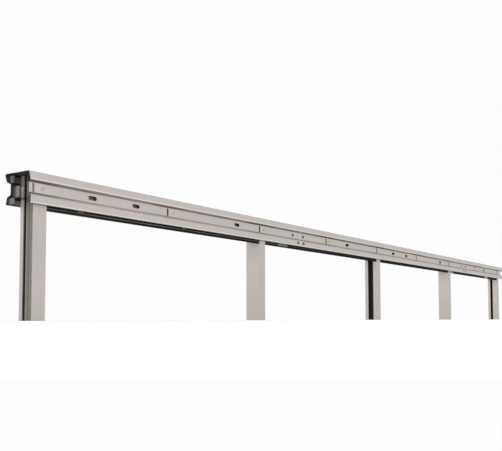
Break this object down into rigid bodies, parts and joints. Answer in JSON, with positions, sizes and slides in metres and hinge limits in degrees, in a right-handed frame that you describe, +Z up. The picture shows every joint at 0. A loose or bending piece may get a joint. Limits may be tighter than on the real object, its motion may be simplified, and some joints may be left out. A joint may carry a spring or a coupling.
{
  "type": "sliding door header with uprights",
  "caption": "Long rolled-steel header with slits and slots that hides a trolley track for sliding doors, carried on short uprights with black door channels.",
  "frame": {"origin": "middle of the footprint, on the plane the uprights stand on", "axes": "+X along the header to its right as seen from the front, -Y out of the front, +Z up"},
  "size_m": [5.0653, 0.1112, 0.493],
  "materials": {
    "shell_steel": "satin rolled steel, light warm grey",
    "post_steel": "satin rolled steel, light warm grey",
    "inner_steel": "zinc-plated steel, dull",
    "fixing_screw": "zinc-plated steel, light",
    "splice_screw": "dark coated steel",
    "track_aluminium": "anodised aluminium",
    "channel_black": "matt black extruded plastic",
    "seal_black": "matt dark grey extruded plastic",
    "brush_black": "dense black brush pile, held as one strip",
    "clip_steel": "light pressed steel",
    "coupler_grey": "grey moulded plastic",
    "tongue_aluminium": "dull aluminium plate",
    "bumper_rubber": "black rubber",
    "trolley_steel": "zinc-plated machined steel",
    "axle_steel": "turned steel",
    "wheel_nylon": "off-white nylon",
    "hanger_steel": "zinc-plated threaded steel"
  },
  "bodies": {
    "header": {"front_shell_left": "shell_steel", "front_shell_middle": "shell_steel", "front_shell_right": "shell_steel", "rear_shell_left": "shell_steel", "rear_shell_middle": "shell_steel", "rear_shell_right": "shell_steel", "post_1_front_stud": "post_steel", "post_1_rear_stud": "post_steel", "post_2": "post_steel", "post_3_front_stud": "post_steel", "post_3_rear_stud": "post_steel", "post_4": "post_steel", "post_5_front_stud": "post_steel", "post_5_rear_stud": "post_steel", "front_splice_plates": "inner_steel", "rear_splice_plates": "inner_steel", "track_joiner": "inner_steel", "track_yokes": "inner_steel", "post_saddles": "inner_steel", "track_stops": "inner_steel", "front_fixing_screws": "fixing_screw", "rear_fixing_screws": "fixing_screw", "track_screws": "fixing_screw", "front_splice_screws": "splice_screw", "rear_splice_screws": "splice_screw", "track_left": "track_aluminium", "track_right": "track_aluminium", "post_1_door_channel": "channel_black", "post_3_door_channel": "channel_black", "post_5_door_channel": "channel_black", "seal_carriers": "seal_black", "seal_brushes": "brush_black", "seal_clips": "clip_steel", "front_band_coupler": "coupler_grey", "rear_band_couplers": "coupler_grey", "end_tongue": "tongue_aluminium", "stop_bumpers": "bumper_rubber"},
    "trolley_1": {"trolley_1_body": "trolley_steel", "trolley_1_axles": "axle_steel", "trolley_1_hanger": "hanger_steel"},
    "trolley_2": {"trolley_2_body": "trolley_steel", "trolley_2_axles": "axle_steel", "trolley_2_hanger": "hanger_steel"},
    "trolley_3": {"trolley_3_body": "trolley_steel", "trolley_3_axles": "axle_steel", "trolley_3_hanger": "hanger_steel"},
    "trolley_4": {"trolley_4_body": "trolley_steel", "trolley_4_axles": "axle_steel", "trolley_4_hanger": "hanger_steel"},
    "trolley_1_wheels_left": {"trolley_1_wheels_left": "wheel_nylon"},
    "trolley_1_wheels_right": {"trolley_1_wheels_right": "wheel_nylon"},
    "trolley_2_wheels_left": {"trolley_2_wheels_left": "wheel_nylon"},
    "trolley_2_wheels_right": {"trolley_2_wheels_right": "wheel_nylon"},
    "trolley_3_wheels_left": {"trolley_3_wheels_left": "wheel_nylon"},
    "trolley_3_wheels_right": {"trolley_3_wheels_right": "wheel_nylon"},
    "trolley_4_wheels_left": {"trolley_4_wheels_left": "wheel_nylon"},
    "trolley_4_wheels_right": {"trolley_4_wheels_right": "wheel_nylon"}
  },
  "joints": [
    {"name": "trolley_1_slide", "type": "slide", "parent": "header", "child": "trolley_1", "axis": [1, 0, 0], "range_m": [-0.0632, 0.3942]},
    {"name": "trolley_2_slide", "type": "slide", "parent": "header", "child": "trolley_2", "axis": [1, 0, 0], "range_m": [-0.2931, 0.1643]},
    {"name": "trolley_3_slide", "type": "slide", "parent": "header", "child": "trolley_3", "axis": [1, 0, 0], "range_m": [-0.0388, 0.4186]},
    {"name": "trolley_4_slide", "type": "slide", "parent": "header", "child": "trolley_4", "axis": [1, 0, 0], "range_m": [-0.2321, 0.2253]},
    {"name": "trolley_1_left_wheels_spin", "type": "hinge", "parent": "trolley_1", "child": "trolley_1_wheels_left", "pos_m": [-1.10073, 0, 0.4248], "axis": [0, 1, 0], "continuous": true},
    {"name": "trolley_1_right_wheels_spin", "type": "hinge", "parent": "trolley_1", "child": "trolley_1_wheels_right", "pos_m": [-1.04473, 0, 0.4248], "axis": [0, 1, 0], "continuous": true},
    {"name": "trolley_2_left_wheels_spin", "type": "hinge", "parent": "trolley_2", "child": "trolley_2_wheels_left", "pos_m": [-0.32044, 0, 0.4248], "axis": [0, 1, 0], "continuous": true},
    {"name": "trolley_2_right_wheels_spin", "type": "hinge", "parent": "trolley_2", "child": "trolley_2_wheels_right", "pos_m": [-0.26444, 0, 0.4248], "axis": [0, 1, 0], "continuous": true},
    {"name": "trolley_3_left_wheels_spin", "type": "hinge", "parent": "trolley_3", "child": "trolley_3_wheels_left", "pos_m": [1.31329, 0, 0.4248], "axis": [0, 1, 0], "continuous": true},
    {"name": "trolley_3_right_wheels_spin", "type": "hinge", "parent": "trolley_3", "child": "trolley_3_wheels_right", "pos_m": [1.36929, 0, 0.4248], "axis": [0, 1, 0], "continuous": true},
    {"name": "trolley_4_left_wheels_spin", "type": "hinge", "parent": "trolley_4", "child": "trolley_4_wheels_left", "pos_m": [2.057, 0, 0.4248], "axis": [0, 1, 0], "continuous": true},
    {"name": "trolley_4_right_wheels_spin", "type": "hinge", "parent": "trolley_4", "child": "trolley_4_wheels_right", "pos_m": [2.113, 0, 0.4248], "axis": [0, 1, 0], "continuous": true}
  ],
  "couplings": [
    {"joint": "trolley_1_left_wheels_spin", "follows": "trolley_1_slide", "rad_per_m": 76.923},
    {"joint": "trolley_1_right_wheels_spin", "follows": "trolley_1_slide", "rad_per_m": 76.923},
    {"joint": "trolley_2_left_wheels_spin", "follows": "trolley_2_slide", "rad_per_m": 76.923},
    {"joint": "trolley_2_right_wheels_spin", "follows": "trolley_2_slide", "rad_per_m": 76.923},
    {"joint": "trolley_3_left_wheels_spin", "follows": "trolley_3_slide", "rad_per_m": 76.923},
    {"joint": "trolley_3_right_wheels_spin", "follows": "trolley_3_slide", "rad_per_m": 76.923},
    {"joint": "trolley_4_left_wheels_spin", "follows": "trolley_4_slide", "rad_per_m": 76.923},
    {"joint": "trolley_4_right_wheels_spin", "follows": "trolley_4_slide", "rad_per_m": 76.923}
  ]
}
